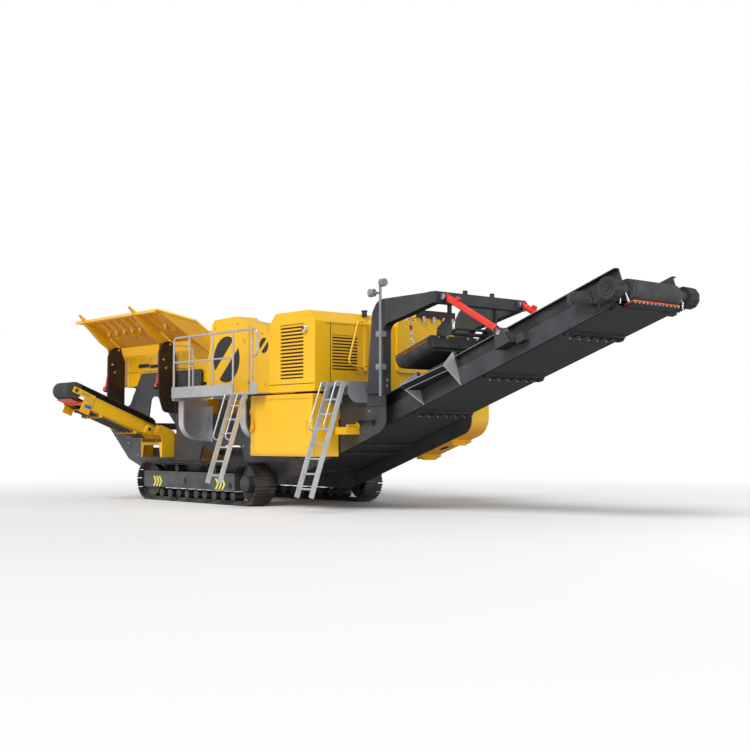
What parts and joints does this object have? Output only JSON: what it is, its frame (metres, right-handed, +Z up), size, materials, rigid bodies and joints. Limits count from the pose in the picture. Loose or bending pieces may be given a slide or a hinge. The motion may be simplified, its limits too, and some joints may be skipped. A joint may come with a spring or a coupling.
{
  "type": "tracked jaw crusher",
  "caption": "Tracked mobile jaw crusher with flared folding hopper, crusher guards, engine house, walkway, ladders, magnet, side conveyor and inclined main conveyor",
  "frame": {"origin": "Centre of the bounding box on the ground plane, under the tracks.", "axes": "+X along the machine towards the head of the main conveyor (the longest extent), +Y to the machine's left, +Z up."},
  "size_m": [13.5734, 5.2101, 3.7593],
  "materials": {
    "yellow_paint": "satin powder coat",
    "grey_paint": "satin paint",
    "black_paint": "satin paint",
    "belt_rubber": "matt rubber belt",
    "aluminium": "mill finish",
    "track_steel": "worn dark steel",
    "red_paint": "gloss paint",
    "rod_chrome": "hard chrome",
    "jaw_steel": "cast manganese steel",
    "spring_steel": "coil spring steel",
    "drum_lagging": "grey lagging",
    "scraper_plastic": "polyurethane"
  },
  "bodies": {
    "base": {"chassis_cross_members": "grey_paint", "chassis_plate_left": "grey_paint", "chassis_plate_right": "grey_paint", "crusher_deck": "yellow_paint", "crusher_frame": "yellow_paint", "crusher_guard_left": "yellow_paint", "crusher_guard_right": "yellow_paint", "far_cabinet": "yellow_paint", "feeder_springs": "spring_steel", "feeder_trough": "yellow_paint", "front_landing": "aluminium", "gantry": "grey_paint", "hopper_front_wings": "yellow_paint", "hopper_posts": "grey_paint", "hopper_rear_wall": "yellow_paint", "ladder_front": "aluminium", "ladder_rear": "aluminium", "light_mast": "aluminium", "magnet": "black_paint", "magnet_hangers": "grey_paint", "power_house": "yellow_paint", "power_house_front_doors": "yellow_paint", "service_box": "yellow_paint", "side_stand": "yellow_paint", "side_tail": "yellow_paint", "step_bracket": "yellow_paint", "swing_jaw": "jaw_steel", "track_frame_left": "grey_paint", "track_frame_right": "grey_paint", "track_loop_left": "track_steel", "track_loop_right": "track_steel", "track_wheels": "track_steel", "walkway_brackets": "aluminium", "walkway_deck": "aluminium", "walkway_rails": "aluminium"},
    "main_conveyor": {"main_frame": "grey_paint", "main_belt": "belt_rubber", "main_tail_drum": "drum_lagging", "main_gear_motors": "black_paint", "main_scraper": "scraper_plastic"},
    "main_drum": {"main_head_drum": "drum_lagging"},
    "lift_barrel_pair": {"lift_barrels": "red_paint"},
    "lift_rod_pair": {"lift_rods": "rod_chrome"},
    "side_conveyor": {"side_frame": "yellow_paint", "side_belt": "belt_rubber", "side_scraper": "scraper_plastic"},
    "side_drum": {"side_head_drum": "drum_lagging"},
    "left_wall": {"hopper_wall_left": "yellow_paint"},
    "left_wall_barrels": {"wall_barrels_left": "red_paint"},
    "left_wall_rods": {"wall_rods_left": "rod_chrome"},
    "right_wall": {"hopper_wall_right": "yellow_paint"},
    "right_wall_barrels": {"wall_barrels_right": "red_paint"},
    "right_wall_rods": {"wall_rods_right": "rod_chrome"},
    "service_door": {"service_box_door": "yellow_paint"}
  },
  "joints": [
    {"name": "main_conveyor_lift", "type": "hinge", "parent": "base", "child": "main_conveyor", "pos_m": [-0.64774, 0.62076, 0.71002], "axis": [0, 1, 0], "range_deg": [0, 8]},
    {"name": "main_head_drum_spin", "type": "hinge", "parent": "main_conveyor", "child": "main_drum", "pos_m": [6.62733, 0.62076, 3.15835], "axis": [0, 1, 0], "continuous": true},
    {"name": "lift_barrel_tilt", "type": "hinge", "parent": "base", "child": "lift_barrel_pair", "pos_m": [3.50712, 0.62076, 3.33], "axis": [0, 1, 0], "range_deg": [-0.5, 17.18]},
    {"name": "lift_rod_slide", "type": "slide", "parent": "lift_barrel_pair", "child": "lift_rod_pair", "axis": [0.8799, 0, -0.4751], "range_m": [-0.001, 0.6424]},
    {"name": "side_conveyor_fold", "type": "hinge", "parent": "base", "child": "side_conveyor", "pos_m": [-4.52288, -0.67924, 1.39], "axis": [-1, 0, 0], "range_deg": [0, 45]},
    {"name": "side_head_drum_spin", "type": "hinge", "parent": "side_conveyor", "child": "side_drum", "pos_m": [-4.52288, -2.44464, 2.09248], "axis": [1, 0, 0], "continuous": true},
    {"name": "left_wall_fold", "type": "hinge", "parent": "base", "child": "left_wall", "pos_m": [-4.88788, 1.74076, 3.05], "axis": [1, 0, 0], "range_deg": [0, 140]},
    {"name": "left_wall_barrel_tilt", "type": "hinge", "parent": "base", "child": "left_wall_barrels", "pos_m": [-4.88788, 1.95076, 2.24], "axis": [1, 0, 0], "range_deg": [-2.28, 0.5]},
    {"name": "left_wall_rod_slide", "type": "slide", "parent": "left_wall_barrels", "child": "left_wall_rods", "axis": [0, -0.2013, 0.9795], "range_m": [-0.001, 0.3202]},
    {"name": "right_wall_fold", "type": "hinge", "parent": "base", "child": "right_wall", "pos_m": [-4.88788, -0.49924, 3.05], "axis": [-1, 0, 0], "range_deg": [0, 140]},
    {"name": "right_wall_barrel_tilt", "type": "hinge", "parent": "base", "child": "right_wall_barrels", "pos_m": [-4.88788, -0.70924, 2.24], "axis": [-1, 0, 0], "range_deg": [-2.28, 0.5]},
    {"name": "right_wall_rod_slide", "type": "slide", "parent": "right_wall_barrels", "child": "right_wall_rods", "axis": [0, 0.2013, 0.9795], "range_m": [-0.001, 0.3202]},
    {"name": "service_door_swing", "type": "hinge", "parent": "base", "child": "service_door", "pos_m": [-0.65888, -0.89924, 1.4], "axis": [0, 0, -1], "range_deg": [0, 35]}
  ],
  "couplings": [
    {"joint": "lift_barrel_tilt", "follows": "main_conveyor_lift", "ratio": 2.0849},
    {"joint": "lift_rod_slide", "follows": "main_conveyor_lift", "m_per_rad": 4.5933},
    {"joint": "left_wall_barrel_tilt", "follows": "left_wall_fold", "ratio": -0.012685},
    {"joint": "left_wall_rod_slide", "follows": "left_wall_fold", "m_per_rad": 0.13065},
    {"joint": "right_wall_barrel_tilt", "follows": "right_wall_fold", "ratio": -0.012685},
    {"joint": "right_wall_rod_slide", "follows": "right_wall_fold", "m_per_rad": 0.13065}
  ]
}
